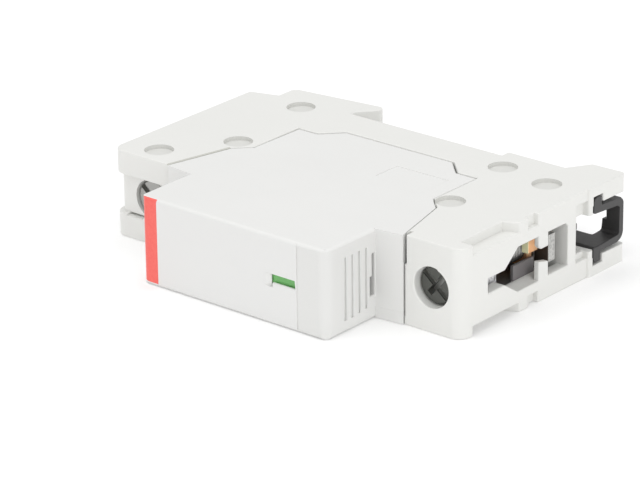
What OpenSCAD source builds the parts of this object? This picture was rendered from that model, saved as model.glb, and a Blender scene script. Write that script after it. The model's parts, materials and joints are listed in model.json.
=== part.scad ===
// One-module surge arrester for a 35 mm mounting rail: a U-shaped base with two lift terminals and a
// sliding rail clip, and a plug-in cartridge that holds the varistor and its thermal disconnector.
// It lies on its side. X runs along the 85 mm height, Y is the depth with the front at -Y, and Z is the
// module width. The origin is the middle of the rail seat at mid-width.

/* [Module] */
// Width of the body
module_w = 17.8; // [17.6:0.1:18.4]
// Distance from the rail centre to the left end
left_end = 43.6; // [43.2:0.1:45]
// Distance from the rail centre to the right end
right_end = 41.4; // [41.2:0.1:43]
// Depth from the rail seat to the terminal shoulders
shoulder_depth = 43; // [42.5:0.1:44.5]
// Depth of the legs behind the rail seat
rear_depth = 6.8; // [6.6:0.1:8]
// Radius of the shoulders' outer corners
corner_r = 2.6; // [1.5:0.1:3]

/* [Shell] */
// Thickness of the cover on the underside
cover_t = 1.7; // [1.4:0.1:2]
// Thickness of the upper side wall
floor_t = 1.7; // [1.4:0.1:2]
// Thickness of the end walls round the wire mouths
end_wall = 2.8; // [2.6:0.1:2.9]
// Gap between the base and the cartridge
seam_gap = 0.25; // [0.2:0.05:0.4]

/* [Rail] */
// Width of the mounting rail
rail_w = 35; // [34.5:0.1:35.5]
// Play at each edge of the rail
rail_clear = 0.4; // [0.2:0.1:0.8]
// Extra depth of the fixed hook's slot
hook_room = 1.3; // [0.5:0.1:2]
// Overlap of the fixed hook behind the rail edge
hook_lip = 1.4; // [1:0.1:2]
// Height of the fixed hook's slot
hook_gap = 1.4; // [1.2:0.1:1.8]
// Height of the stop beside the sliding clip
ledge = 2.1; // [1.6:0.1:2.6]

/* [Terminals] */
// Distance from the rail centre to each terminal screw
terminal_x = 34.5; // [34.3:0.1:34.8]
// Diameter of the screwdriver hole
hole_d = 8; // [7.8:0.1:8.2]
// Diameter of the screw head
head_d = 7.6; // [7:0.1:7.6]
// Height of the screw head
head_h = 3; // [2:0.1:3.2]
// Depth of the screw head below the shoulder
head_sink = 1.5; // [1:0.1:1.8]
// Thread diameter of the terminal screw
screw_d = 5; // [4.5:0.1:5.2]
// Running clearance of the thread in the cage
thread_clear = 0.05; // [0.02:0.01:0.1]
// Width of the clamp cage across the module
cage_w = 11.2; // [10.8:0.1:11.6]
// Length of the clamp cage along the module
cage_l = 7.6; // [7.2:0.1:7.8]
// Thickness of the cage's side walls
cage_t = 1.2; // [1:0.1:1.4]
// Thickness of the copper strips
copper_t = 1.4; // [1:0.1:1.6]

/* [Clip] */
// Thickness of the clip's walls
clip_t = 1.4; // [1.2:0.1:1.6]
// Width of the clip's loop across the module
clip_w = 9.6; // [9:0.1:10]
// Length of the loop at the clip's outer end
loop_l = 4.1; // [3.8:0.1:5]
// Overlap of the clip's nose behind the rail edge
clip_lip = 1.2; // [0.8:0.1:1.6]

/* [Cartridge] */
// Offset of the cartridge from the rail centre
cart_x = -0.3; // [-0.5:0.1:0]
// Depth from the rail seat to the front of the nose
nose_depth = 58; // [57:0.1:60]
// Half length of the nose
nose_half = 22.6; // [22.2:0.1:22.9]
// Half length of the cartridge at the shoulders
cart_shoulder = 28.5; // [28:0.1:28.8]
// Half length of the cartridge at its flanks
cart_flank = 21.75; // [21.55:0.05:21.95]
// Wall thickness of the cartridge
cart_wall = 1.6; // [1.4:0.1:1.7]
// Height of the cover on the cartridge's lower side
cart_cover_h = 2.3; // [2:0.1:2.6]

/* [Window] */
// Left edge of the indicator window from the rail centre
window_x = 9.4; // [9:0.1:10]
// Length of the window
window_l = 5.5; // [5:0.1:5.8]
// Height of the window
window_h = 1.7; // [1.2:0.1:2]

/* [Hidden] */
$fn = 64;
eps = 0.05;
half_w = module_w / 2;
lower_z = -half_w + cover_t;
ceiling_z = half_w - floor_t;

// Rail seat, fixed hook and legs
rail_stop = rail_w / 2 + rail_clear;
hook_x = rail_stop + hook_room;
hook_tip = rail_w / 2 - hook_lip;
hook_t = 1.8;
hook_under = rear_depth - hook_t;
hook_chamfer = 0.8;
leg_inset = 6.1;
leg_end = left_end - leg_inset;
leg_rise = 2.4;
leg_rear = rear_depth - leg_rise;
leg_chamfer = 1;
leg_start_y = 0.6;
left_rear = 2.4;
slab_out = 0.5;
slab_start = 4.6;
slab_l = 7.1;
slab_ramp_l = 3;
slab_inner = right_end - slab_l;
slab_ramp = slab_inner - slab_ramp_l;
slab_corner_r = 0.8;

// Terminals
chamber_wall = 6.5;
chamber_front = shoulder_depth - chamber_wall;
chamber_rear = 10.6;
lining_t = 0.8;
lining_z = 5.9;
rib_x = [-2.4, 1.4];
rib_t = 1;
head_gap = 0.2;
seat_y = shoulder_depth - head_sink - head_h - head_gap;
shank_clear = 0.3;
tongue_y = 16.4;
tongue_reach = 2.7;
screw_gap = 0.4;
jaw_t = 2.2;
jaw_y = 13;
cage_front = 31.5;
cage_front_t = 3;
lip_half = 2.7;
lip_out = 1.9;
flap_t = 0.6;
flap_sink = 0.1;
flap_y = [16.9, 23.2];
flap_top = -1.4;
hook_rise = 2.9;
hook_l = 1.4;
cage_play = 0.1;
cage_half_l = cage_l / 2 - cage_play;
tooth_pitch = 1.5;
tooth_d = 0.45;
slot_w = 1.2;
slot_d = 1;
cross_half = 2.4;
cross_d = 1.8;
head_edge = 0.35;
recess_turn = 40;

// Wire mouths, as distances from the rail seat and heights from mid-width
slit_y = 35;
slit_z = [-2, 0.9];
flare_y = [30, 26];
mouth_z = [-4.6, 4.2];
mouth_skin = 1.2;
post_y = [19.7, 16.7];
neck_z = [-1.5, 1.5];
neck_slant = 0.7;
pocket_y = chamber_rear;
pocket_z = [-4.4, 4.2];
pocket_cut = 0.7;

// Contacts between base and cartridge
blade_u = 19.2;
blade_t = 1.2;
blade_half = 4;
blade_tip = 5.6;
contact_clear = 0.1;
jaw_leaf_t = 0.8;
jaw_base_half = 2;
jaw_flare = [0.3, 0.6];
ring_t = 0.5;
ring_y = [8.4, 6.8];
ring_clear = 0.15;
ring_half = blade_half + ring_clear;
contact_rear = 4.3;
contact_front = 11;
strip_half = 3.5;
leg_x = 24;
lane_clear = 0.4;
lane_front = 26;
contact_room = 3.8;
slot_half = 1;
bridge_wall = 1.7;
wide_seam = [3.1, 0.5, 2];

// Clip and its channel
channel_half = 5.3;
channel_front = 3.2;
channel_deep = 8;
channel_deep_l = 8.4;
channel_deep_x = right_end - channel_deep_l;
groove_y = [-channel_front, -0.2];
groove_d = 1.6;
groove_half = channel_half + groove_d;
bead_z = 3.6;
bead_l = 4.4;
bead_rear = 3.25;
bead_r = 0.5;
block_z = 3.7;
block_sink = 1;
recess_z = [6.5, 4.9];
clip_play = 0.3;
clip_out = 0.3;
clip_end = right_end + clip_out;
clip_rear = rear_depth;
clip_half = clip_w / 2;
clip_nose = rail_w / 2 - clip_lip;
clip_nose_y = 1.4;
clip_nose_l = 5.7;
plate_rear = 5.2;
ear_z = groove_half - clip_play;
ear_r = [1.1, 0.4];
plate_r = 0.5;
clip_front = -channel_front + clip_play;
clip_taper = [0.7, 0.2];
loop_r = [1.3, 2];
loop_fill_r = 0.6;
loop_cut_l = 1;
loop_cut_z = -0.9;
finger_gap = 1.6;
finger_reach = 5.5;
finger_rear = 2.3;
finger_tab = [3.2, 2];
finger_tab_z = [0, 0.9];
finger_tab_t = 1.1;
upper_tab_y = 2.6;
nose_slope = 3;
nose_lap = 1.5;

// Cartridge
cart_side_step = 0.1;
cart_half_w = half_w - cart_side_step;
cart_joint_z = -cart_half_w + cart_cover_h;
cart_out = 0.3;
cart_front = shoulder_depth + cart_out;
nose_step = 0.6;
nose_y = cart_front + nose_step;
waist_in = 3.5;
cart_waist = cart_shoulder - waist_in;
waist_y = 29.2;
heel_y = 12.7;
heel_u = 17;
tail_u = 13;
tail_y = 8.7;
land_l = cart_waist - cart_flank;
nose_r = 2.2;
nose_edge_r = 0.8;
slant_t = 1.9;
cart_floor_z = half_w - cart_wall;
cover_plate_t = 1.5;
cart_inner_low = -cart_half_w + cover_plate_t;
heel_inner = heel_y + cart_wall;
cart_inner_u = cart_flank - cart_wall - eps;

// Varistor and disconnector
varistor_half = 15.5;
varistor_y = [45, 15.5];
varistor_half_t = blade_half;
sheet_t = 0.8;
arm_y = [40, 18];
arm_x = [18.4, 20];
solder_l = 0.8;
tab_y = [39.6, 37.2];
varistor_r = 2;
sheet_half = 12;
sheet_y = [42, 18];
sheet_lap = 2;
left_tab_y = [24, 19];
press_u = 8;
press_y = 30;
press_r = 1.5;
blade_top = 25;

// Indicator
flag_t = 1;
flag_half = 2.2;
flag_lap = 0.7;
flag_clear = 0.2;
flag_play = 2.4;
flag_end_gap = 1.5;
window_z = 0.35;
bevel_l = 1.9;
bevel_drop = 0.9;
front_t = 1.5;
front_inner = nose_depth - front_t;
window_wall = 0.6;
flag_y = nose_depth - window_wall - flag_clear;
flag_rear = flag_y - flag_t - flag_clear;
flag_x = [window_x - window_l - flag_play, cart_x + nose_half - cart_wall - flag_end_gap];
rail_t = 0.8;
backing_t = 0.8;

// Grip and trim
grip_ys = [52.5, 50.5, 48.55, 46.6];
grip_w = 0.55;
grip_d = 0.4;
grip_z = [-6.7, 5.9];
grip_rise = 0.2;
latch_y = [45.4, 44.8, 44.2];
latch_step = -0.4;
latch_half = 4.1;
label_seam_x = 15.5;
seam_w = 0.35;
seam_d = 0.15;
dimple_r = 2.9;
dimple_d = 0.8;
dimples = [[-35.6, -38.3], [-26.6, -25.5], [-29.5, -3.2], [24.9, -25], [21.9, -5], [33.7, -7]];
end_pocket_d = 1.9;
end_pocket_l = 3;
end_pocket_y = [39.5, 27.1];
end_pocket_slant = 1.6;
end_notch_y = [22.9, 19.9];
end_notch_l = 1.1;
end_notch_d = 2.3;
band_half = 4;
band_d = 1;
band_notch_x = [3.4, 7.4];
band_notch_d = 1;
band_notch_drop = 0.35;
panel_x = [5.5, 18];
panel_y = [23.2, 16.6];
panel_d = 0.15;

base_color = [0.90, 0.90, 0.87];
cart_color = [0.92, 0.92, 0.90];
copper_color = [0.85, 0.53, 0.32];
steel_color = [0.42, 0.42, 0.43];
spring_color = [0.72, 0.73, 0.74];

// A box between two corners
module box(low, high) {
    translate(low)
        cube(high - low);
}

// A YZ outline carried along X
module along_x(from, to) {
    translate([from, 0, 0])
        rotate([90, 0, 90])
            linear_extrude(to - from)
                children();
}

// An XZ outline carried along Y
module along_y(from, to) {
    translate([0, to, 0])
        rotate([90, 0, 0])
            linear_extrude(to - from)
                children();
}

// An XY outline carried along Z
module along_z(from, to) {
    translate([0, 0, from])
        linear_extrude(to - from)
            children();
}

// The same shape on the right (1) or mirrored to the left (-1)
module sided(side) {
    mirror([side < 0 ? 1 : 0, 0, 0])
        children();
}

// Waste outside a rounded corner at a point, where the body lies towards (sx, sy)
module corner_cut(at, r, sx, sy) {
    translate(at)
        mirror([sx < 0 ? 1 : 0, 0])
            mirror([0, sy < 0 ? 1 : 0])
                difference() {
                    translate([-eps, -eps])
                        square(r + eps);
                    translate([r, r])
                        circle(r);
                }
}

// Right half of the cartridge's plugged-in part, grown by g towards the base
module cart_half(g) {
    polygon([
        [0, -cart_front],
        [cart_shoulder + g, -cart_front],
        [cart_waist + g, -waist_y + g],
        [cart_flank + g, -waist_y + land_l + g],
        [cart_flank + g, -heel_y + g],
        [heel_u + g, -heel_y + g],
        [tail_u + g, -tail_y + g],
        [0, -tail_y + g]
    ]);
}

// Cartridge's plugged-in outline about its own middle
module cart_body(g) {
    translate([cart_x, 0]) {
        cart_half(g);
        mirror([1, 0])
            cart_half(g);
    }
}

// Whole cartridge outline with its nose
module cart_outline() {
    cart_body(0);
    translate([cart_x, 0])
        difference() {
            polygon([
                [-cart_shoulder, -cart_front],
                [-nose_half, -nose_y],
                [-nose_half, -nose_depth],
                [nose_half, -nose_depth],
                [nose_half, -nose_y],
                [cart_shoulder, -cart_front]
            ]);
            corner_cut([-nose_half, -nose_depth], nose_r, 1, 1);
            corner_cut([nose_half, -nose_depth], nose_r, -1, 1);
        }
}

// Hollow inside the cartridge's walls
module cart_hollow() {
    half = [
        [nose_half - cart_wall, -front_inner],
        [nose_half - slant_t, -cart_front],
        [cart_shoulder - slant_t, -cart_front + cart_wall],
        [cart_waist - slant_t + 0.5, -waist_y - cart_wall],
        [cart_inner_u, -waist_y],
        [cart_inner_u, -heel_inner],
        [heel_u - cart_wall, -heel_inner],
        [tail_u - cart_wall, -tail_y - cart_wall]
    ];
    translate([cart_x, 0])
        polygon(concat(half, [for (i = [len(half) - 1:-1:0]) [-half[i][0], half[i][1]]]));
}

// Base outline: shoulders, ends, fixed hook, rail seat and the bay for the cartridge
module base_outline() {
    difference() {
        polygon([
            [-left_end, -shoulder_depth],
            [right_end, -shoulder_depth],
            [right_end, -slab_start],
            [right_end + slab_out, -slab_start],
            [right_end + slab_out, rear_depth],
            [slab_inner, rear_depth],
            [slab_ramp, ledge],
            [rail_stop, ledge],
            [rail_stop, 0],
            [-hook_x, 0],
            [-hook_x, hook_gap],
            [-hook_tip, hook_under],
            [-hook_tip, rear_depth - hook_chamfer],
            [-hook_tip - hook_chamfer, rear_depth],
            [-leg_end + leg_chamfer, leg_rear],
            [-leg_end, leg_rear - leg_chamfer],
            [-leg_end, -leg_start_y],
            [-left_end, -left_rear]
        ]);
        cart_body(seam_gap);
        corner_cut([-left_end, -shoulder_depth], corner_r, 1, 1);
        corner_cut([right_end, -shoulder_depth], corner_r, -1, 1);
        corner_cut([right_end + slab_out, rear_depth], slab_corner_r, -1, -1);
        corner_cut([right_end + slab_out, -slab_start], bead_r, -1, 1);
    }
}

// Room inside one terminal block, from the contact jaw to the clamp
module terminal_room(end_x) {
    room_x = end_x - end_wall;
    lane_x = leg_x - lane_clear;
    inner_x = cart_shoulder + contact_clear;
    contact_x = blade_u - contact_room;
    translate([lane_x, -lane_front])
        square([room_x - lane_x, lane_front - chamber_rear]);
    translate([inner_x, -chamber_front])
        square([room_x - inner_x, chamber_front - chamber_rear]);
    translate([contact_x, -contact_front])
        square([leg_x + copper_t + lane_clear - contact_x, contact_front - contact_rear]);
}

// Thicker wall between the end pocket and the clamp chamber
module pocket_lining(end_x, gap, from, to) {
    box([end_x - end_pocket_l - lining_t, -chamber_front + gap, from],
        [end_x - end_wall - gap, -chamber_rear - gap, to]);
}

// Keyhole mouth in an end wall: slit by the screw, clamp opening, neck between two teeth, wire pocket
module wire_mouth() {
    polygon([
        [-slit_y, slit_z[0]],
        [-flare_y[0], slit_z[0]],
        [-flare_y[1], mouth_z[0]],
        [-post_y[0], mouth_z[0]],
        [-post_y[0], neck_z[0] + neck_slant],
        [-post_y[1], neck_z[0]],
        [-post_y[1], pocket_z[0]],
        [-pocket_y, pocket_z[0]],
        [-pocket_y, pocket_z[1] - pocket_cut],
        [-pocket_y - pocket_cut, pocket_z[1]],
        [-post_y[1], pocket_z[1]],
        [-post_y[1], neck_z[1]],
        [-post_y[0] + neck_slant, neck_z[1]],
        [-post_y[0], neck_z[1] + neck_slant],
        [-post_y[0], mouth_z[1]],
        [-flare_y[1], mouth_z[1]],
        [-flare_y[0], slit_z[1]],
        [-slit_y, slit_z[1]]
    ]);
}

// Stepped hole for a terminal screw, from the shoulder to the clamp chamber
module screw_way(side) {
    translate([side * terminal_x, -shoulder_depth - eps, 0])
        rotate([-90, 0, 0]) {
            cylinder(d = hole_d, h = shoulder_depth - seat_y + eps);
            cylinder(d = screw_d + 2 * shank_clear, h = shoulder_depth - chamber_front + 2 * eps);
        }
}

// Cut for the sliding clip: its channel, the deep mouth at the end and the two ear grooves
module clip_channel() {
    far_x = right_end + slab_out + eps;
    box([rail_stop, -channel_front, -channel_half], [far_x, rear_depth + eps, channel_half]);
    box([channel_deep_x, -channel_deep, -channel_half], [far_x, rear_depth, channel_half]);
    box([rail_stop, groove_y[0], -groove_half], [far_x, groove_y[1], groove_half]);
    for (flip = [0, 1])
        mirror([0, 0, flip])
            box([right_end - block_sink, -channel_deep, block_z],
                [right_end + eps, -slab_start, recess_z[flip]]);
}

// Rounded beads beside the clip and the sunk blocks next to them, at the mouth of the channel
module channel_beads() {
    for (flip = [0, 1])
        mirror([0, 0, flip]) {
            along_z(bead_z, channel_half + eps)
                difference() {
                    translate([right_end - bead_l, -slab_start])
                        square([bead_l + slab_out, slab_start - bead_rear]);
                    corner_cut([right_end + slab_out, -slab_start], bead_r, -1, 1);
                    corner_cut([right_end + slab_out, -bead_rear], bead_r, -1, -1);
                }
            box([channel_deep_x - eps, -channel_deep - eps, block_z],
                [right_end - block_sink, -slab_start + eps, channel_half + eps]);
            if (recess_z[flip] < channel_half)
                box([right_end - block_sink - eps, -channel_deep - eps, recess_z[flip]],
                    [right_end, -slab_start + eps, channel_half + eps]);
        }
}

// Shallow pocket and notch on the side faces at an end, cut on both sides of the module
module end_pockets(end_x) {
    inner_x = end_x - end_pocket_l;
    outline = [
        [inner_x, -end_pocket_y[0]],
        [end_x + eps, -end_pocket_y[0]],
        [end_x + eps, -end_pocket_y[1] + end_pocket_slant],
        [inner_x, -end_pocket_y[1]]
    ];
    for (flip = [0, 1])
        mirror([0, 0, flip]) {
            along_z(half_w - end_pocket_d, half_w + eps)
                polygon(outline);
            box([end_x - end_notch_l, -end_notch_y[0], half_w - end_notch_d],
                [end_x + eps, -end_notch_y[1], half_w + eps]);
        }
}

// Recessed band round the left shoulder, between the upper and lower slabs
module left_band() {
    along_z(-band_half, band_half)
        difference() {
            translate([-left_end - eps, -shoulder_depth - eps])
                square([left_end - cart_shoulder, shoulder_depth - flare_y[1]]);
            difference() {
                translate([-left_end + band_d, -shoulder_depth + band_d])
                    square(shoulder_depth);
                corner_cut([-left_end + band_d, -shoulder_depth + band_d], corner_r - band_d, 1, 1);
            }
        }
    box([-left_end + band_notch_x[0], -shoulder_depth, -band_half - band_notch_drop],
        [-left_end + band_notch_x[1], -shoulder_depth + band_d + band_notch_d, -band_half + eps]);
}

// Round ejector marks sunk into a side face
module side_dimples(flip) {
    mirror([0, 0, flip])
        for (at = dimples)
            translate([at[0], at[1], half_w - dimple_d])
                cylinder(r = dimple_r, h = dimple_d + eps);
}

// Ribs that guide a clamp cage between the side walls
module cage_ribs(side, from, to) {
    for (dx = rib_x)
        box([side * terminal_x + dx, -chamber_front, from],
            [side * terminal_x + dx + rib_t, -chamber_rear, to]);
}

// Everything hollowed out of the base: terminals, wire mouths, bridge, clip channel and shoulder band
module base_rooms() {
    for (side = [-1, 1]) {
        end_x = side > 0 ? right_end : left_end;
        sided(side) {
            along_z(lower_z - eps, ceiling_z)
                terminal_room(end_x);
            along_x(end_x - end_wall - eps, end_x + eps)
                wire_mouth();
            // Wider room behind the thin skin of the mouth
            box([end_x - end_wall - eps, -flare_y[1], mouth_z[0]],
                [end_x - mouth_skin, -pocket_y, mouth_z[1]]);
        }
        screw_way(side);
        // Slot for the cartridge's blade
        box([cart_x + side * blade_u - slot_half, -heel_y, -blade_half - lane_clear],
            [cart_x + side * blade_u + slot_half, -contact_front + eps, blade_half + lane_clear]);
    }
    // Hollow bridge behind the rail seat
    box([-tail_u + 1, -tail_y + bridge_wall, lower_z - eps], [tail_u - 1, -bridge_wall, ceiling_z]);
    clip_channel();
    left_band();
    // Wider seam beside the cartridge on the upper half of the right shoulder
    box([cart_x + cart_shoulder, -shoulder_depth - eps, wide_seam[0]],
        [cart_x + cart_shoulder + wide_seam[1], -shoulder_depth + wide_seam[2], half_w + eps]);
}

module base_housing() {
    color(base_color) {
        difference() {
            union() {
                difference() {
                    along_z(lower_z, half_w)
                        base_outline();
                    base_rooms();
                }
                for (side = [-1, 1])
                    sided(side)
                        pocket_lining(side > 0 ? right_end : left_end, -eps, lining_z, ceiling_z + eps);
            }
            for (side = [-1, 1])
                sided(side)
                    end_pockets(side > 0 ? right_end : left_end);
            side_dimples(0);
        }
        channel_beads();
        for (side = [-1, 1])
            cage_ribs(side, cage_w / 2 + clip_play, ceiling_z);
    }
}

module base_cover() {
    color(base_color) {
        difference() {
            union() {
                along_z(-half_w, lower_z)
                    base_outline();
                for (side = [-1, 1])
                    sided(side)
                        pocket_lining(side > 0 ? right_end : left_end, contact_clear,
                            lower_z - eps, -lining_z);
            }
            for (side = [-1, 1])
                sided(side)
                    end_pockets(side > 0 ? right_end : left_end);
            side_dimples(1);
        }
        for (side = [-1, 1])
            cage_ribs(side, lower_z, -cage_w / 2 - clip_play);
    }
}

// One plate of the clip across the module, leaning in towards the rear, with its outward ear
module clip_plate(taper, rear) {
    lean = taper * (rear - clip_front) / (clip_rear - clip_front);
    difference() {
        union() {
            polygon([
                [clip_front, clip_half - clip_t],
                [clip_front, clip_half],
                [rear, clip_half - lean],
                [rear, clip_half - lean - clip_t]
            ]);
            translate([clip_front, clip_half - clip_t])
                square([groove_y[1] - clip_play - clip_front, ear_z - clip_half + clip_t]);
        }
        corner_cut([clip_front, ear_z], ear_r[0], 1, -1);
        corner_cut([groove_y[1] - clip_play, ear_z], ear_r[1], -1, -1);
        corner_cut([clip_front, clip_half - clip_t], plate_r, 1, 1);
    }
}

// Upper and lower plate joined at the rear, with rounded corners
module clip_loop() {
    difference() {
        union() {
            clip_plate(clip_taper[0], clip_rear);
            mirror([0, 1])
                clip_plate(clip_taper[1], clip_rear);
            translate([clip_rear - clip_t, -clip_half + clip_taper[1]])
                square([clip_t, clip_w - clip_taper[0] - clip_taper[1]]);
        }
        corner_cut([clip_rear, clip_half - clip_taper[0]], loop_r[0], -1, -1);
        corner_cut([clip_rear, -clip_half + clip_taper[1]], loop_r[1], -1, 1);
    }
    for (flip = [0, 1])
        mirror([0, flip])
            translate([clip_rear - clip_t - loop_fill_r,
                clip_half - clip_t - clip_taper[flip] - loop_fill_r])
                difference() {
                    square([loop_fill_r + eps, loop_fill_r + clip_taper[1]]);
                    circle(loop_fill_r);
                }
}

module rail_clip() {
    loop_x = clip_end - loop_l;
    plate_x = clip_nose + clip_nose_l - nose_lap;
    color([0.20, 0.20, 0.20]) {
        difference() {
            along_x(loop_x, clip_end)
                clip_loop();
            box([loop_x - eps, clip_front - eps, loop_cut_z],
                [loop_x + loop_cut_l, clip_rear + eps, ear_z + eps]);
        }
        along_x(plate_x, loop_x - finger_gap)
            clip_plate(clip_taper[0], plate_rear);
        along_x(plate_x, loop_x - finger_reach)
            mirror([0, 1])
                clip_plate(clip_taper[1], plate_rear);
        along_x(loop_x - finger_reach - eps, loop_x + eps)
            mirror([0, 1])
                clip_plate(clip_taper[1], finger_rear);
        // Wedge nose that snaps behind the rail edge
        along_z(-clip_half + clip_taper[0], clip_half - clip_taper[0])
            polygon([
                [clip_nose, clip_nose_y],
                [clip_nose + clip_nose_l, clip_nose_y],
                [clip_nose + clip_nose_l, plate_rear],
                [clip_nose + nose_slope, plate_rear]
            ]);
        // Finger tabs inside the loop, one on each plate
        box([loop_x - finger_tab[0], clip_front + plate_r, -clip_half + clip_t - eps],
            [loop_x - finger_tab[1], clip_front + plate_r + finger_tab_t, finger_tab_z[0]]);
        box([loop_x - finger_gap - clip_t, -upper_tab_y, finger_tab_z[1]],
            [loop_x - finger_gap, -upper_tab_y + finger_tab_t, clip_half - clip_t + eps]);
    }
}

// Terminal screw with a combined slot and cross recess
module terminal_screw(side) {
    head_y = shoulder_depth - head_sink;
    tip_y = tongue_y + copper_t + screw_gap;
    color(steel_color)
        translate([side * terminal_x, -head_y, 0])
            rotate([-90, 0, 0])
                difference() {
                    union() {
                        cylinder(d1 = head_d - 2 * head_edge, d2 = head_d, h = head_edge);
                        translate([0, 0, head_edge])
                            cylinder(d = head_d, h = head_h - head_edge);
                        cylinder(d = screw_d, h = head_y - tip_y);
                    }
                    rotate([0, 0, recess_turn]) {
                        box([-head_d / 2 - eps, -slot_w / 2, -eps], [head_d / 2 + eps, slot_w / 2, slot_d]);
                        box([-slot_w / 2, -cross_half, -eps], [slot_w / 2, cross_half, cross_d]);
                    }
                }
}

// Lift cage: a tube round the copper tongue, threaded at the front, with a toothed jaw at the rear
module clamp_cage(side) {
    outer = cage_half_l;
    color(steel_color)
        sided(side)
            translate([terminal_x, 0, 0])
                difference() {
                    union() {
                        difference() {
                            box([-outer, -cage_front, -cage_w / 2], [outer, -jaw_y, cage_w / 2]);
                            box([-outer - eps, -cage_front + cage_front_t, -cage_w / 2 + cage_t],
                                [outer + eps, -jaw_y - jaw_t, cage_w / 2 - cage_t]);
                        }
                        box([outer - eps, -jaw_y - jaw_t, -lip_half], [outer + lip_out, -jaw_y, lip_half]);
                        box([outer - flap_sink - flap_t, -flap_y[1], -cage_w / 2 + cage_t - eps],
                            [outer - flap_sink, -flap_y[0], flap_top]);
                    }
                    translate([0, -cage_front - eps, 0])
                        rotate([-90, 0, 0])
                            cylinder(d = screw_d + 2 * thread_clear, h = cage_front_t + 2 * eps);
                    // Teeth across the jaw
                    for (x = [-outer + tooth_pitch:tooth_pitch:outer - tooth_pitch / 2])
                        translate([x, -jaw_y - jaw_t, 0])
                            rotate([0, 0, 45])
                                cube([tooth_d, tooth_d, cage_w - 2 * cage_t - 0.4], center = true);
                }
}

// Copper strip from the contact jaw to the tongue inside the clamp cage
module busbar(side) {
    start_x = side * cart_x + blade_u + jaw_base_half;
    tongue_end = terminal_x + tongue_reach;
    rear_y = contact_rear + contact_clear;
    color(copper_color)
        sided(side)
            along_z(-strip_half, strip_half)
                polygon([
                    [start_x, -rear_y - copper_t],
                    [leg_x, -rear_y - copper_t],
                    [leg_x, -tongue_y - copper_t],
                    [tongue_end, -tongue_y - copper_t],
                    [tongue_end, -tongue_y],
                    [leg_x + copper_t, -tongue_y],
                    [leg_x + copper_t, -rear_y],
                    [start_x, -rear_y]
                ]);
    // Hooked end that keeps the cage on the tongue
    color(copper_color)
        sided(side)
            box([tongue_end - eps, -tongue_y - hook_rise, 0], [tongue_end + hook_l, -tongue_y, strip_half]);
}

// Springy fork that grips a blade of the cartridge
module contact_jaw(side) {
    inner = blade_t / 2 + contact_clear;
    rear_y = contact_rear + contact_clear;
    tip_y = contact_front - 0.2;
    leaf = [
        [jaw_base_half, -rear_y],
        [jaw_base_half, -rear_y - jaw_leaf_t],
        [inner + jaw_leaf_t, -rear_y - jaw_leaf_t],
        [inner + jaw_leaf_t, -tip_y + jaw_flare[1] + jaw_flare[0]],
        [inner + jaw_flare[0] + jaw_leaf_t, -tip_y],
        [inner + jaw_flare[0], -tip_y],
        [inner, -tip_y + jaw_flare[1]],
        [inner, -rear_y - jaw_leaf_t]
    ];
    color(copper_color)
        translate([cart_x + side * blade_u, 0, 0])
            along_z(-strip_half, strip_half)
                polygon(concat(leaf, [for (i = [len(leaf) - 1:-1:0]) [-leaf[i][0], leaf[i][1]]]));
}

// Steel ring that presses the fork's leaves together
module jaw_spring(side) {
    inner = blade_t / 2 + contact_clear + jaw_leaf_t;
    color(spring_color)
        translate([cart_x + side * blade_u, 0, 0])
            difference() {
                box([-inner - ring_t, -ring_y[0], -ring_half - ring_t],
                    [inner + ring_t, -ring_y[1], ring_half + ring_t]);
                box([-inner, -ring_y[0] - eps, -ring_half], [inner, -ring_y[1] + eps, ring_half]);
            }
}

// Finger grooves and the latch slot on one end of the nose
module nose_grip(side) {
    translate([cart_x, 0, 0])
        sided(side) {
            for (i = [0:len(grip_ys) - 1])
                box([nose_half - grip_d, -grip_ys[i] - grip_w / 2, grip_z[0] + grip_rise * i],
                    [nose_half + 1, -grip_ys[i] + grip_w / 2, grip_z[1]]);
            box([nose_half - slant_t - 1, -latch_y[1], latch_step],
                [nose_half + 1, -latch_y[2], latch_half]);
            box([nose_half - slant_t - 1, -latch_y[0], -latch_half],
                [nose_half + 1, -latch_y[2], latch_step + eps]);
        }
}

// Waste outside the rounded edges of the nose on one side face
module nose_edges(flip) {
    mirror([0, 0, flip]) {
        along_x(cart_x - nose_half - 1, cart_x + nose_half + 1)
            corner_cut([-nose_depth, cart_half_w], nose_edge_r, 1, -1);
        for (side = [-1, 1])
            along_y(-nose_depth - 1, -nose_y)
                corner_cut([cart_x + side * nose_half, cart_half_w], nose_edge_r, -side, -1);
    }
}

// Indicator window with a bevelled recess at its left end, and the flag's room behind it
module window_cut() {
    low_z = window_z - window_h / 2;
    edge = flag_half + flag_clear;
    box([window_x, -nose_depth - eps, low_z], [window_x + window_l, -front_inner + eps, low_z + window_h]);
    box([flag_x[0], -nose_depth + window_wall, window_z - edge],
        [flag_x[1], -front_inner + eps, window_z + edge]);
    along_z(low_z - bevel_drop, low_z + window_h)
        polygon([
            [window_x - bevel_l, -nose_depth - eps],
            [window_x + eps, -nose_depth - eps],
            [window_x + eps, -nose_depth + window_wall + eps]
        ]);
}

// Rails behind the front wall that guide the indicator flag, and the stem of its red backing
module flag_rails() {
    edge = flag_half + flag_clear;
    for (z = [window_z + edge, window_z - edge - rail_t])
        box([flag_x[0], -front_inner - eps, z], [flag_x[1], -flag_rear, z + rail_t]);
    box([window_x, -flag_rear, window_z + flag_half],
        [window_x + window_l, -flag_rear + backing_t, cart_floor_z + eps]);
}

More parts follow.
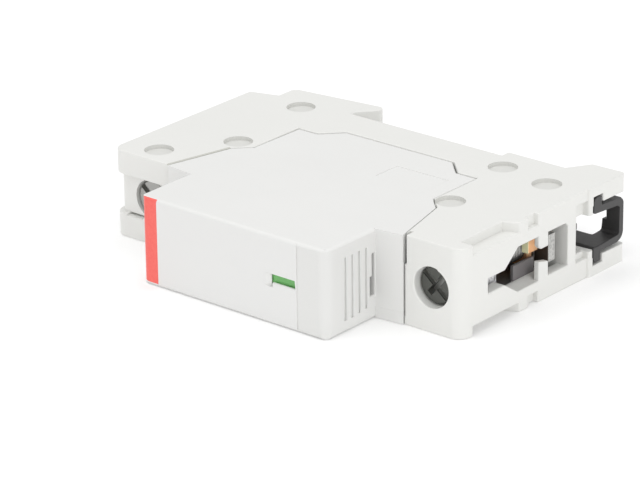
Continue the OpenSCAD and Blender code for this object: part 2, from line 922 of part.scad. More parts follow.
module cartridge_tray() {
    color(cart_color) {
        difference() {
            along_z(cart_joint_z, cart_half_w)
                cart_outline();
            along_z(cart_joint_z - eps, cart_floor_z)
                cart_hollow();
            for (side = [-1, 1]) {
                nose_grip(side);
                // Slot for the blade
                translate([cart_x + side * blade_u, 0, 0])
                    box([-blade_t / 2 - contact_clear, -heel_inner - eps, -blade_half - contact_clear],
                        [blade_t / 2 + contact_clear, -heel_y + eps, blade_half + contact_clear]);
            }
            window_cut();
            // Fine seam beside the label field
            box([label_seam_x - seam_w / 2, -nose_depth - eps, cart_joint_z - eps],
                [label_seam_x + seam_w / 2, -nose_depth + seam_d, cart_half_w + eps]);
            // Shallow panel on the side face
            box([panel_x[0], -panel_y[0], cart_half_w - panel_d],
                [panel_x[1], -panel_y[1], cart_half_w + eps]);
            nose_edges(0);
        }
        flag_rails();
        // Posts that press the upper electrode on the varistor
        for (side = [-1, 1])
            translate([cart_x + side * press_u, -press_y, varistor_half_t + sheet_t])
                cylinder(r = press_r, h = cart_floor_z - varistor_half_t - sheet_t + eps);
    }
}

module cartridge_cover() {
    color(cart_color) {
        difference() {
            along_z(-cart_half_w, cart_joint_z)
                cart_outline();
            along_z(cart_inner_low, cart_joint_z + eps)
                cart_hollow();
            box([label_seam_x - seam_w / 2, -nose_depth - eps, -cart_half_w - eps],
                [label_seam_x + seam_w / 2, -nose_depth + seam_d, cart_joint_z + eps]);
            nose_edges(1);
        }
        for (side = [-1, 1])
            translate([cart_x + side * press_u, -press_y, cart_inner_low - eps])
                cylinder(r = press_r, h = -varistor_half_t - sheet_t - cart_inner_low + eps);
    }
}

module varistor_block() {
    color([0.16, 0.24, 0.42])
        translate([cart_x, 0, 0])
            along_z(-varistor_half_t, varistor_half_t)
                difference() {
                    translate([-varistor_half, -varistor_y[0]])
                        square([2 * varistor_half, varistor_y[0] - varistor_y[1]]);
                    for (s = [-1, 1]) {
                        corner_cut([s * varistor_half, -varistor_y[0]], varistor_r, -s, 1);
                        corner_cut([s * varistor_half, -varistor_y[1]], varistor_r, -s, -1);
                    }
                }
}

// Outline of the sheet on either face of the varistor
module sheet() {
    translate([-sheet_half, -sheet_y[0]])
        square([2 * sheet_half, sheet_y[0] - sheet_y[1]]);
}

// Sheet electrode on the varistor's upper face, with a tab on the left blade
module electrode_left() {
    color(copper_color)
        translate([cart_x, 0, 0])
            along_z(varistor_half_t, varistor_half_t + sheet_t) {
                sheet();
                translate([-blade_u - blade_t / 2, -left_tab_y[0]])
                    square([blade_u + blade_t / 2 - sheet_half + sheet_lap, left_tab_y[0] - left_tab_y[1]]);
            }
}

// Sheet electrode on the varistor's lower face, with a tab for the soldered joint
module electrode_right() {
    color(copper_color)
        translate([cart_x, 0, 0])
            along_z(-varistor_half_t - sheet_t, -varistor_half_t) {
                sheet();
                translate([sheet_half - sheet_lap, -tab_y[0]])
                    square([arm_x[0] - 2 * solder_l - sheet_half + sheet_lap, tab_y[0] - tab_y[1]]);
            }
}

// Flat blade that plugs into the base
module blade(side) {
    color(copper_color)
        translate([cart_x + side * blade_u, 0, 0])
            along_z(-blade_half, blade_half)
                polygon([
                    [-blade_t / 2, -blade_top],
                    [blade_t / 2, -blade_top],
                    [blade_t / 2, -blade_tip - 1],
                    [blade_t / 4, -blade_tip],
                    [-blade_t / 4, -blade_tip],
                    [-blade_t / 2, -blade_tip - 1]
                ]);
}

// Spring strip under the right blade, held to the electrode by low-melting solder
module disconnect_arm() {
    color([0.80, 0.68, 0.42])
        translate([cart_x, 0, 0])
            along_z(-varistor_half_t - sheet_t, -varistor_half_t)
                polygon([
                    [arm_x[0], -arm_y[1]],
                    [arm_x[1], -arm_y[1]],
                    [arm_x[1], -arm_y[0]],
                    [arm_x[0] - solder_l, -arm_y[0]],
                    [arm_x[0] - solder_l, -tab_y[1]],
                    [arm_x[0], -tab_y[1]]
                ]);
}

module solder_joint() {
    color([0.75, 0.76, 0.78])
        translate([cart_x, 0, 0])
            box([arm_x[0] - 2 * solder_l, -tab_y[0], -varistor_half_t - sheet_t],
                [arm_x[0] - solder_l, -tab_y[1], -varistor_half_t]);
}

// Coil spring along X: rings of a round wire joined into one closed tube
module coil_x(r, wire, turns, length) {
    sides = 6;
    steps = 14;
    count = turns * steps;
    function wire_point(i, k) =
        let (a = 360 * i / steps, b = 360 * k / sides, ring = r + wire / 2 * cos(b))
        [length * i / count + wire / 2 * sin(b), ring * cos(a), ring * sin(a)];
    points = [for (i = [0:count], k = [0:sides - 1]) wire_point(i, k)];
    skin = [
        for (i = [0:count - 1], k = [0:sides - 1])
            let (n = (k + 1) % sides)
            [i * sides + k, i * sides + n, (i + 1) * sides + n, (i + 1) * sides + k]
    ];
    first = [for (k = [sides - 1:-1:0]) k];
    last = [for (k = [0:sides - 1]) count * sides + k];
    polyhedron(points, concat([first, last], skin));
}

// Spring that pulls the arm clear when the solder melts
module arm_spring() {
    wire = 0.35;
    gap = arm_x[0] - varistor_half - 2 * contact_clear - wire;
    color(spring_color)
        translate([cart_x + varistor_half + contact_clear + wire / 2, -press_y, -varistor_half_t])
            coil_x(1.2, wire, 4, gap);
}

// Green plate behind the window
module indicator_flag() {
    color([0.30, 0.68, 0.32])
        box([window_x - flag_lap, -flag_y, window_z - flag_half],
            [window_x + window_l + flag_lap, -flag_y + flag_t, window_z + flag_half]);
}

// Red plate that shows when the flag has slid away
module indicator_backing() {
    color([0.85, 0.15, 0.12])
        box([window_x - flag_lap, -flag_rear, window_z - flag_half],
            [window_x + window_l + flag_lap, -flag_rear + backing_t, window_z + flag_half]);
}

// Spring that pushes the flag aside
module indicator_spring() {
    wire = 0.25;
    pitch = 0.525;
    from = window_x + window_l + flag_lap + contact_clear + wire / 2;
    to = flag_x[1] - contact_clear - wire / 2;
    color(spring_color)
        translate([from, -flag_y + flag_t / 2, window_z])
            coil_x(0.4, wire, max(1, round((to - from) / pitch)), to - from);
}

base_housing();
base_cover();
rail_clip();
terminal_screw(-1);  // terminal_screw_left
terminal_screw(1);  // terminal_screw_right
clamp_cage(-1);  // clamp_cage_left
clamp_cage(1);  // clamp_cage_right
busbar(-1);  // busbar_left
busbar(1);  // busbar_right
contact_jaw(-1);  // contact_jaw_left
contact_jaw(1);  // contact_jaw_right
jaw_spring(-1);  // jaw_spring_left
jaw_spring(1);  // jaw_spring_right
cartridge_tray();
cartridge_cover();
varistor_block();
electrode_left();
electrode_right();
blade(-1);  // blade_left
blade(1);  // blade_right
disconnect_arm();
solder_joint();
arm_spring();
indicator_flag();
indicator_backing();
indicator_spring();
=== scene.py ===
"""Looks of a one-module surge arrester that lies on its side: finishes, mouldings, studio and camera."""
import json
import math

import bmesh
import bpy
from mathutils import Matrix, Vector


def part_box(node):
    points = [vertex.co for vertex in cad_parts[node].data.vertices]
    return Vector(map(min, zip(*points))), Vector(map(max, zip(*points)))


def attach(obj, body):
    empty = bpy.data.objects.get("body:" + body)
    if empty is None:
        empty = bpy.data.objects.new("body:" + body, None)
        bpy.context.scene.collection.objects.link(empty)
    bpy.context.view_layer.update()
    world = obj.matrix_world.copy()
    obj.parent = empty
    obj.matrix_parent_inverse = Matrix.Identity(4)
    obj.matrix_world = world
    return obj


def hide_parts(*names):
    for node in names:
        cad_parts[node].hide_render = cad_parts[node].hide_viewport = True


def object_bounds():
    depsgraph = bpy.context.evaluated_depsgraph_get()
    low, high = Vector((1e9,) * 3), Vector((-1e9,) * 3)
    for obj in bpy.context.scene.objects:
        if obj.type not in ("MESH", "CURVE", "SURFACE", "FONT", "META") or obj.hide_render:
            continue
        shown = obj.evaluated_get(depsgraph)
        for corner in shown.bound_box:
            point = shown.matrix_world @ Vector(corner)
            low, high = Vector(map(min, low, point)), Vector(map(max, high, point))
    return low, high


MM = 0.001

# Base, in millimetres of the shared frame
BASE_PARTING_Z = -7.2
EJECTOR_MARKS = ((-35.6, -38.3), (-26.6, -25.5), (-29.5, -3.2), (24.9, -25), (21.9, -5), (33.7, -7))
EJECTOR_MARK_R = 2.94
EJECTOR_MARK_Z = (8.05, 8.88)
LEFT_SEAM_END = (-25.55, -28.95)
LEFT_SEAM_ACROSS = (-0.9716, 0.237)
LEFT_SEAM_Y = (-43, -28.9)
# Width and lowest height of the painted shadow along the left seam
SEAM_SHADOW_W = 0.42
SEAM_SHADOW_Z = 8.4
LEFT_POCKET_X = -40
LEFT_POCKETS = (
    {"y": (-40, -25), "floor_z": 7.0},
    {"y": (-23, -19.8), "floor_z": 6.6},
)

# Wire mouths: the end walls, then the ramp on the floor in front of each cage.
# The lip's points are x and z, the tail's are the inset from the end wall and z.
END_X = {"left": 43.6, "right": 41.4}
RAMP_Y = (-26.2, -16.9)
RAMP_FOOT_Z = -5.1
RAMP_LIP = ((38.26, -4.38), (38.17, -4.33), (38.17, -4.29), (38.22, -4.25), (38.6, -4.26))
RAMP_TAIL = ((1.6, -4.5), (0.7, -4.62))

# Cartridge
CARTRIDGE_PARTING_Z = -6.5
CARTRIDGE_HAIRLINE = 0.3
NOSE_REAR_Y = -43.5
LABEL_Y = -57.93
LABEL_X = (-18.6, 15.3)
STRIPE_Y = -56.2
STRIPE_Z = (-8.2, 8.7)
# Where shade is painted on the ends of the nose
NOSE_ENDS_X = (-22.2, 15.65)
NOSE_ENDS_Y = -43.9
NOSE_ENDS_Z = 8.3

# Terminals
SCREW_HEAD_L = 3.0
SCREW_FACE_Y = -41.3
SCREW_NECK_Y = -38.4
SCREW_SHADE_Y = -29.5
SCREW_CUT = 0.4
THREAD_R = 2.5
THREAD_D = 0.42
THREAD_PITCH = 0.8
THREAD_LAP = 0.3
CAGE_FRONT_Y = -26.6
CAGE_JAW_Y = -15.6
JAW_FACE_Y = (-15.4, -15.05)
FLAP_X = (37.3, 38.3)
FLAP_Y = (-23.4, -16.7)
FLAP_Z = (-4.4, -1.2)
PALE_BAND_Y = (-19.4, -19.2)

# Rounding of the mouldings
WELD = 0.002
EDGE_R = 0.28
CLIP_EDGE_R = 0.22
EDGE_STEPS = 3
PROBES = (0.03, 0.25, 0.5, 0.75, 0.97)
ROOM_SHARE = 0.42
LEAST_SHARE = 0.15
NARROW_AREA = 0.5
SAME_LEVEL = 0.02
FLAT = math.radians(0.6)
CURVED = 0.02
SEAM = math.radians(6)
SHARP = math.radians(32)
STILL_SHARP = math.radians(40)

# Studio and camera, in metres and degrees
TENT_LIGHT = 0.70
FLOOR_REACH = 4.0
LAMPS = {
    "top_softbox": {"place": (-0.1, -0.1, 0.8), "aim": (0, -0.03, 0), "size": 0.9, "power": 2.9},
    "front_softbox": {"place": (-0.5, -0.75, 0.28), "aim": (0, -0.03, 0), "size": 0.7, "power": 0.55},
    "right_softbox": {"place": (0.8, -0.3, 0.3), "aim": (0.03, -0.03, 0), "size": 0.5, "power": 1.6},
}
CAMERA_TURN = 40.039
CAMERA_RISE = 22.188
CAMERA_ROLL = -0.715
CAMERA_AIM_MM = (-2.46, -30.05, -4.13)
CAMERA_DISTANCE = 0.6782
CAMERA_LENS = 201.16
CAMERA_SENSOR = 36.0

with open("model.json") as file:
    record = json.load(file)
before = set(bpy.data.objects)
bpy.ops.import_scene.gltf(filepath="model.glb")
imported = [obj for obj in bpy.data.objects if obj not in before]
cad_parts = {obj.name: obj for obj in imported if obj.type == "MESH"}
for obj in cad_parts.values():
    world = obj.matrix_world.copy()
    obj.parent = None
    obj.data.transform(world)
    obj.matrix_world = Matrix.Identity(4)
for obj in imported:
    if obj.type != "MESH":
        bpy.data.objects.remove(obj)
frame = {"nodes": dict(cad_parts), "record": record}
NODES = frame["nodes"]
cad_low, cad_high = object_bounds()


class Value:
    """One output of a finish's node tree. Sums, products and comparisons add Math nodes."""

    def __init__(self, tree, socket):
        self.tree = tree
        self.socket = socket

    def math(self, operation, first, second):
        node = self.tree.nodes.new("ShaderNodeMath")
        node.operation = operation
        for slot, value in enumerate((first, second)):
            if isinstance(value, Value):
                self.tree.links.new(value.socket, node.inputs[slot])
            else:
                node.inputs[slot].default_value = value
        return Value(self.tree, node.outputs[0])

    def __add__(self, other):
        return self.math("ADD", self, other)

    def __radd__(self, other):
        return self.math("ADD", other, self)

    def __sub__(self, other):
        return self.math("SUBTRACT", self, other)

    def __rsub__(self, other):
        return self.math("SUBTRACT", other, self)

    def __mul__(self, other):
        return self.math("MULTIPLY", self, other)

    def __rmul__(self, other):
        return self.math("MULTIPLY", other, self)

    def __gt__(self, other):
        return self.math("GREATER_THAN", self, other)

    def __lt__(self, other):
        return self.math("LESS_THAN", self, other)


class Finish:
    """A procedural material on one Principled shader."""

    def __init__(self, name):
        self.material = bpy.data.materials.new(name)
        self.material.use_nodes = True
        self.tree = self.material.node_tree
        self.shader = self.tree.nodes["Principled BSDF"]
        self.place = self.node("ShaderNodeTexCoord", out="Object")

    def node(self, kind, settings=None, sockets=None, out=0):
        """A node of that kind, its settings first, then the values or links of its sockets."""
        made = self.tree.nodes.new(kind)
        for key, value in (settings or {}).items():
            if key == "stops":
                ramp = made.color_ramp
                while len(ramp.elements) < len(value):
                    ramp.elements.new(0.5)
                for stop, (at, colour) in zip(ramp.elements, value):
                    stop.position = at
                    stop.color = (*colour, 1)
            else:
                setattr(made, key, value)
        for key, value in (sockets or {}).items():
            self.feed(made.inputs[key], value)
        return Value(self.tree, made.outputs[out])

    def feed(self, socket, value):
        """Link a value to a socket, or set a number, vector or colour there."""
        if isinstance(value, Value):
            self.tree.links.new(value.socket, socket)
        elif isinstance(value, tuple) and len(value) == 3 and len(socket.default_value) == 4:
            socket.default_value = (*value, 1)
        else:
            socket.default_value = value

    def set(self, **sockets):
        """Shader sockets by name, with spaces written as underscores."""
        for key, value in sockets.items():
            self.feed(self.shader.inputs[key.replace("_", " ")], value)

    def vector(self, operation, first, second, out="Vector"):
        """A Vector Math node on two vectors."""
        return self.node("ShaderNodeVectorMath", {"operation": operation}, {0: first, 1: second}, out)

    def noise(self, size_mm, detail=2.0, rough=0.5, stretch=None):
        """Cloudy noise between 0 and 1 with patches of about that size."""
        where = self.vector("MULTIPLY", self.place, stretch) if stretch else self.place
        sockets = {"Vector": where, "Scale": 1 / (size_mm * MM), "Detail": detail, "Roughness": rough}
        return self.node("ShaderNodeTexNoise", {"noise_dimensions": "3D"}, sockets)

    def axis(self, name):
        """A coordinate of the shared frame in millimetres."""
        return self.node("ShaderNodeSeparateXYZ", {}, {0: self.place}, out=name) * (1 / MM)

    def ramp(self, value, *stops):
        """A colour that runs through the stops as the value goes from 0 to 1."""
        return self.node("ShaderNodeValToRGB", {"stops": stops}, {"Fac": value}, out="Color")

    def blend(self, mask, under, over):
        """Colour under, covered by colour over where the mask is 1."""
        factor, first, second, colour_out = 0, 6, 7, 2
        sockets = {factor: mask, first: under, second: over}
        return self.node("ShaderNodeMix", {"data_type": "RGBA"}, sockets, colour_out)

    def rounded(self, radius_mm):
        """Normal with the sharp edges softened, and a mask that is high along those edges."""
        soft = self.node("ShaderNodeBevel", {"samples": 6}, {"Radius": radius_mm * MM}, out="Normal")
        flat = self.node("ShaderNodeNewGeometry", out="True Normal")
        return soft, 1 - self.vector("DOT_PRODUCT", soft, flat, out="Value")

    def relief(self, height, depth_mm, normal=None):
        """Normal of a surface that the height (0 to 1) raises by up to that depth."""
        sockets = {"Height": height, "Distance": depth_mm * MM, "Strength": 1.0}
        if normal:
            sockets["Normal"] = normal
        return self.node("ShaderNodeBump", {}, sockets, out="Normal")


def between(value, limits):
    """1 where the value lies between two limits."""
    low, high = limits
    return (value > low) * (value < high)


def squared(limits):
    """The limits that a square lies between."""
    low, high = limits
    return low ** 2, high ** 2


def moulded_plastic(name, colour, grain_depth=0.012, rough=0.46):
    """Satin moulded plastic and its tone: spark-eroded grain, faint clouding and flow marks."""
    finish = Finish(name)
    cloud = finish.noise(14, 3)
    flow = finish.noise(5, 3, 0.6, stretch=(0.25, 1.0, 1.0))
    grain = finish.noise(0.22, 2, 0.6)
    speck = finish.noise(0.9, 3, 0.7)
    shade = tuple(c * 0.955 for c in colour)
    tone = finish.blend(cloud * 0.75 + flow * 0.25, shade, colour)
    finish.set(
        Base_Color=tone,
        Roughness=rough + 0.16 * (speck - 0.5) + 0.08 * (grain - 0.5),
        Normal=finish.relief(grain * 0.7 + speck * 0.3, grain_depth),
        Specular_IOR_Level=0.42,
    )
    return finish, tone


def plated_steel(name, colour, rough, line_mm=0.12):
    """Zinc-plated steel and its tone: fine drawn lines, cloudy passivation, bright rubbed edges."""
    finish = Finish(name)
    soft, edge = finish.rounded(0.12)
    lines = finish.noise(line_mm, 2, 0.6, stretch=(1.0, 0.12, 1.0))
    cloud = finish.noise(2.2, 4, 0.6)
    shade = tuple(c * 0.72 for c in colour)
    bright = tuple(min(1, c * 1.35) for c in colour)
    tone = finish.blend(cloud, shade, colour)
    tone = finish.blend(edge * 2.0, tone, bright)
    finish.set(
        Base_Color=tone,
        Metallic=0.95,
        Roughness=rough + 0.18 * (cloud - 0.5) + 0.1 * (lines - 0.5),
        Normal=finish.relief(lines, 0.01, soft),
    )
    return finish, tone


def copper_finish():
    """Rolled copper strip, warm and a little tarnished, pale and not metallic in a thin band on its hook."""
    tarnished, warm, clean = (0.80, 0.38, 0.17), (0.97, 0.55, 0.28), (0.99, 0.64, 0.37)
    rubbed, pale = (0.98, 0.68, 0.44), (1.0, 0.98, 0.62)
    finish = Finish("copper")
    soft, edge = finish.rounded(0.12)
    tarnish = finish.noise(1.6, 4, 0.6)
    lines = finish.noise(0.1, 2, 0.6, stretch=(0.15, 1.0, 1.0))
    tone = finish.ramp(tarnish, (0.25, tarnished), (0.55, warm), (0.8, clean))
    tone = finish.blend(edge * 1.5, tone, rubbed)
    # Pale and not metallic in a thin band across the copper
    cut = between(finish.axis("Y"), PALE_BAND_Y)
    finish.set(
        Base_Color=finish.blend(cut, tone, pale),
        Metallic=0.65 - cut * 0.65,
        Roughness=0.38 + 0.2 * (tarnish - 0.5) + 0.08 * (lines - 0.5),
        Normal=finish.relief(lines, 0.008, soft),
    )
    return finish


def base_finish():
    """The base's plastic, with painted shade inside the ejector marks and a painted shadow along the left
    seam.
    """
    white, mark_shade, seam_shadow = (0.80, 0.80, 0.775), (0.70, 0.70, 0.675), (0.57, 0.57, 0.525)
    finish, tone = moulded_plastic("base_plastic", white)
    level = finish.vector("MULTIPLY", finish.place, (1, 1, 0))
    # Painted shade inside the ejector marks, on their floors and walls
    shaded_marks = 0
    for mark_x, mark_y in EJECTOR_MARKS:
        away = finish.vector("DISTANCE", level, (mark_x * MM, mark_y * MM, 0), out="Value")
        shaded_marks = shaded_marks + (away < EJECTOR_MARK_R * MM)
    x, y, z = (finish.axis(name) for name in "XYZ")
    shaded_marks = shaded_marks * between(z * z, squared(EJECTOR_MARK_Z))
    tone = finish.blend(shaded_marks, tone, mark_shade)
    # A painted shadow in a narrow band beside the left seam, on the upper face
    (end_x, end_y), (across_x, across_y) = LEFT_SEAM_END, LEFT_SEAM_ACROSS
    from_seam = across_y * (y - end_y) + across_x * (x - end_x)
    seam_shaded = between(from_seam, (0, SEAM_SHADOW_W)) * between(y, LEFT_SEAM_Y) * (z > SEAM_SHADOW_Z)
    finish.set(Base_Color=finish.blend(seam_shaded, tone, seam_shadow))
    return finish


def cartridge_finish():
    """The cartridge's plastic: painted shade on the ends of the nose, a bare label field and a red stripe at
    the left.
    """
    white, field, end_shade = (0.80, 0.80, 0.785), (0.77, 0.77, 0.76), (0.74, 0.74, 0.725)
    deep_red, red = (0.88, 0.13, 0.11), (0.92, 0.16, 0.135)
    finish, tone = moulded_plastic("cartridge_plastic", white)
    x, y, z = (finish.axis(name) for name in "XYZ")
    label = (y < LABEL_Y) * between(x, LABEL_X)
    stripe = (y < STRIPE_Y) * (x < LABEL_X[0]) * between(z, STRIPE_Z)
    # Painted shade on both ends of the nose and the front beside them, below the top face
    shaded_ends = (y < NOSE_ENDS_Y) * ((x > NOSE_ENDS_X[1]) + (x < NOSE_ENDS_X[0])) * (z < NOSE_ENDS_Z)
    tone = finish.blend(label * 0.8, tone, field)
    tone = finish.blend(shaded_ends, tone, end_shade)
    ink = finish.ramp(finish.noise(0.6, 3, 0.6), (0.3, deep_red), (0.7, red))
    finish.set(Base_Color=finish.blend(stripe, tone, ink))
    return finish


def clip_finish():
    """Black plastic of the rail clip."""
    return moulded_plastic("clip_plastic", (0.052, 0.051, 0.051), 0.01, 0.42)[0]


def varistor_finish():
    """Dark blue dipped coating of the varistor."""
    return moulded_plastic("varistor_coating", (0.03, 0.06, 0.20), 0.03, 0.3)[0]


def flag_finish():
    """Green plastic of the indicator's flag."""
    return moulded_plastic("flag_green", (0.18, 0.50, 0.155), 0.004, 0.35)[0]


def backing_finish():
    """Red plastic of the plate behind the flag."""
    return moulded_plastic("backing_red", (0.62, 0.03, 0.03), 0.004, 0.35)[0]


def spring_finish():
    """Bright wire of the springs and of the rings round the contact jaws."""
    return plated_steel("spring_steel", (0.58, 0.58, 0.59), 0.28)[0]


def solder_finish():
    """Tin solder of the thermal joint."""
    return plated_steel("solder", (0.66, 0.66, 0.68), 0.3)[0]


def screw_finish():
    """Plated screws: a painted dark reflection on the right head, painted light on the left head and in the
    recess, brighter threads with painted shade deep inside.
    """
    steel, right_head_reflection, recess_light = (0.34, 0.34, 0.33), (0.115, 0.117, 0.108), (0.33, 0.33, 0.315)
    left_head_light, thread, shaded_thread = (0.37, 0.37, 0.355), (0.62, 0.62, 0.63), (0.36, 0.36, 0.35)
    finish, tone = plated_steel("screw_steel", steel, 0.4)
    x, y = finish.axis("X"), finish.axis("Y")
    # Painted dark reflection on the right head
    tone = finish.blend((x > 0) * (y < SCREW_FACE_Y), tone, right_head_reflection)
    # Painted light in the recess, against its shade
    tone = finish.blend(between(y, (SCREW_FACE_Y, SCREW_NECK_Y)), tone, recess_light)
    # Painted light on the left head
    tone = finish.blend((x < 0) * (y < SCREW_NECK_Y), tone, left_head_light)
    tone = finish.blend(y > SCREW_NECK_Y, tone, thread)
    # Painted shade on the threads deep inside
    finish.set(Base_Color=finish.blend(y > SCREW_SHADE_Y, tone, shaded_thread))
    return finish


def cage_finish():
    """Bright plated cage: a front painted with crease shade and glints, a blackened guard flap, a jaw rough
    from the stamping and painted shade on the jaw's face.
    """
    steel, flap_black, jaw_shade = (0.60, 0.60, 0.61), (0.205, 0.192, 0.196), (0.10, 0.085, 0.07)
    pit, stamped = (0.30, 0.30, 0.29), (0.60, 0.60, 0.58)
    crease_shade, plain, glint = (0.16, 0.16, 0.16), (0.62, 0.62, 0.63), (0.86, 0.86, 0.87)
    finish, tone = plated_steel("cage_steel", steel, 0.34)
    x, y, z = (finish.axis(name) for name in "XYZ")
    flap = between(x * x, squared(FLAP_X)) * between(y, FLAP_Y) * between(z, FLAP_Z)
    jaw, front = y > CAGE_JAW_Y, y < CAGE_FRONT_Y
    pits = finish.ramp(finish.noise(0.35, 3, 0.7), (0.3, pit), (0.6, stamped))
    # Painted shade in creases and painted glints across the front
    crease_noise = finish.noise(0.7, 2, 0.6, stretch=(1.0, 2.2, 0.7))
    painted_creases = finish.ramp(crease_noise, (0.36, crease_shade), (0.5, plain), (0.62, glint))
    tone = finish.blend(jaw, tone, pits)
    tone = finish.blend(front, tone, painted_creases)
    tone = finish.blend(between(y, JAW_FACE_Y), tone, jaw_shade)
    tone = finish.blend(flap, tone, flap_black)
    finish.set(Base_Color=tone, Metallic=0.9 - flap * 0.85 - jaw * 0.25 - front * 0.5)
    return finish


def dress_solids():
    """Give every CAD node the finish of its material slot, and return the finishes by slot."""
    finishes = {
        "base_plastic": base_finish(),
        "cartridge_plastic": cartridge_finish(),
        "clip_plastic": clip_finish(),
        "screw_steel": screw_finish(),
        "cage_steel": cage_finish(),
        "copper": copper_finish(),
        "spring_steel": spring_finish(),
        "varistor_coating": varistor_finish(),
        "solder": solder_finish(),
        "flag_green": flag_finish(),
        "backing_red": backing_finish(),
    }
    for row in frame["record"]["subparts"]:
        solid = NODES[row["node"]]
        solid.data.materials.clear()
        solid.data.materials.append(finishes[row["material_slot"]].material)
    return finishes


def welded(node, reshape=None):
    """The node's solid as one welded skin of whole flat faces, reshaped first where a rule is given."""
    skin = bmesh.new()
    skin.from_mesh(NODES[node].data)
    if reshape:
        reshape(skin)
    bmesh.ops.remove_doubles(skin, verts=skin.verts, dist=WELD * MM)
    bmesh.ops.dissolve_limit(skin, angle_limit=FLAT, verts=skin.verts, edges=skin.edges, delimit={"NORMAL"})
    return skin


def add_piece(name, skin, slot, body, node, finishes):
    """A finished piece from a skin, which rides on a body and may stand for a CAD node."""
    mesh = bpy.data.meshes.new(name)
    skin.to_mesh(mesh)
    skin.free()
    mesh.materials.append(finishes[slot].material)
    piece = bpy.data.objects.new(name, mesh)
    bpy.context.scene.collection.objects.link(piece)
    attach(piece, body)
    if node:
        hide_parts(node)
    return piece


def settle(piece):
    """Work the piece's modifiers into its mesh."""
    ready = piece.evaluated_get(bpy.context.evaluated_depsgraph_get())
    mesh = bpy.data.meshes.new_from_object(ready)
    old = piece.data
    piece.modifiers.clear()
    piece.data = mesh
    mesh.name = piece.name
    bpy.data.meshes.remove(old)


def lies_at(vert, level_mm):
    """Whether a corner lies in the level plane at that height."""
    return abs(vert.co.z - level_mm * MM) < SAME_LEVEL * MM


def close_left_pockets(skin):
    """Lift the floors of the left end's upper pockets level with the side face, which is plain there."""
    for vert in skin.verts:
        for pocket in LEFT_POCKETS:
            front, rear = pocket["y"]
            inside = vert.co.x < LEFT_POCKET_X * MM and front * MM < vert.co.y < rear * MM
            if inside and lies_at(vert, pocket["floor_z"]):
                vert.co.z = cad_high.z


def base_parting(edge):
    """The cover meets the housing in a line that hardly shows."""
    return 0 if all(lies_at(vert, BASE_PARTING_Z) for vert in edge.verts) else 1


def cartridge_parting(edge):
    """The cartridge's halves meet in a hairline beside the nose and flush on the nose."""
    if not all(lies_at(vert, CARTRIDGE_PARTING_Z) for vert in edge.verts):
        return 1
    return CARTRIDGE_HAIRLINE if max(vert.co.y for vert in edge.verts) > NOSE_REAR_Y * MM else 0


def all_edges(edge):
    """The clip is moulded in one piece and has no parting."""
    return 1


def face_room(edge, face, seams):
    """Width of a face straight in from one of its edges, looking past the seams inside a flat face."""
    loop = next(turn for turn in face.loops if turn.edge == edge)
    start, end = loop.vert.co, loop.link_loop_next.vert.co
    along = (end - start).normalized()
    inward = face.normal.cross(along)
    unbounded, touching = 1.0, 1e-7
    room = unbounded
    for share in PROBES:
        at = start.lerp(end, share)
        for other in face.loops:
            if other.edge == edge or other.edge in seams:
                continue
            near, far = other.vert.co - at, other.link_loop_next.vert.co - at
            before, after = near.dot(along), far.dot(along)
            if (before < 0) == (after < 0):
                continue
            depth = near.dot(inward)
            depth += (far.dot(inward) - depth) * before / (before - after)
            if depth > touching:
                room = min(room, depth)
    return room


def weigh_edges(skin, radius, parting):
    """Set how far each outer edge is rounded: less where a face is small or the parting rule says so."""
    weight = skin.edges.layers.float.new("bevel_weight_edge")
    seams = {edge for edge in skin.edges if edge.calc_face_angle(0) < SEAM}
    curved = {face for face in skin.faces
              if any(CURVED < edge.calc_face_angle(0) < SHARP for edge in face.edges)}
    for face in skin.faces:
        face.smooth = True
    for edge in skin.edges:
        if edge.calc_face_angle(0) < SHARP:
            continue
        edge.smooth = False
        narrow = min(face.calc_area() for face in edge.link_faces) < NARROW_AREA * MM ** 2
        if narrow or not edge.is_convex or curved.issuperset(edge.link_faces):
            continue
        room = min(face_room(edge, face, seams) for face in edge.link_faces)
        share = min(1, ROOM_SHARE * room / radius) * parting(edge)
        if share > LEAST_SHARE:
            edge[weight] = share
            edge.smooth = True


def mark_sharp(piece):
    """Keep the shading apart on both sides of every edge that is sharp after the rounding."""
    skin = bmesh.new()
    skin.from_mesh(piece.data)
    for edge in skin.edges:
        edge.smooth = edge.calc_face_angle(0) < STILL_SHARP
    skin.to_mesh(piece.data)
    skin.free()


def moulded_shell(node, slot, body, radius_mm, parting, finishes, reshape=None):
    """The moulded solid with its outer edges rounded, apart from those that the parting leaves sharp."""
    radius = radius_mm * MM
    skin = welded(node, reshape)
    weigh_edges(skin, radius, parting)
    piece = add_piece(node + "_moulding", skin, slot, body, node, finishes)
    rounding = piece.modifiers.new("rounding", "BEVEL")
    rounding.width = radius
    rounding.segments = EDGE_STEPS
    rounding.limit_method = "WEIGHT"
    rounding.use_clamp_overlap = False
    rounding.miter_outer = "MITER_ARC"
    settle(piece)
    mark_sharp(piece)
    shading = piece.modifiers.new("shading", "WEIGHTED_NORMAL")
    shading.keep_sharp = True
    shading.weight = 100
    settle(piece)


def mould_shells(finishes):
    """The five mouldings with rounded edges."""
    for half, reshape in (("base_housing", close_left_pockets), ("base_cover", None)):
        moulded_shell(half, "base_plastic", "base", EDGE_R, base_parting, finishes, reshape)
    for half in ("cartridge_tray", "cartridge_cover"):
        moulded_shell(half, "cartridge_plastic", "cartridge", EDGE_R, cartridge_parting, finishes)
    moulded_shell("rail_clip", "clip_plastic", "clip", CLIP_EDGE_R, all_edges, finishes)


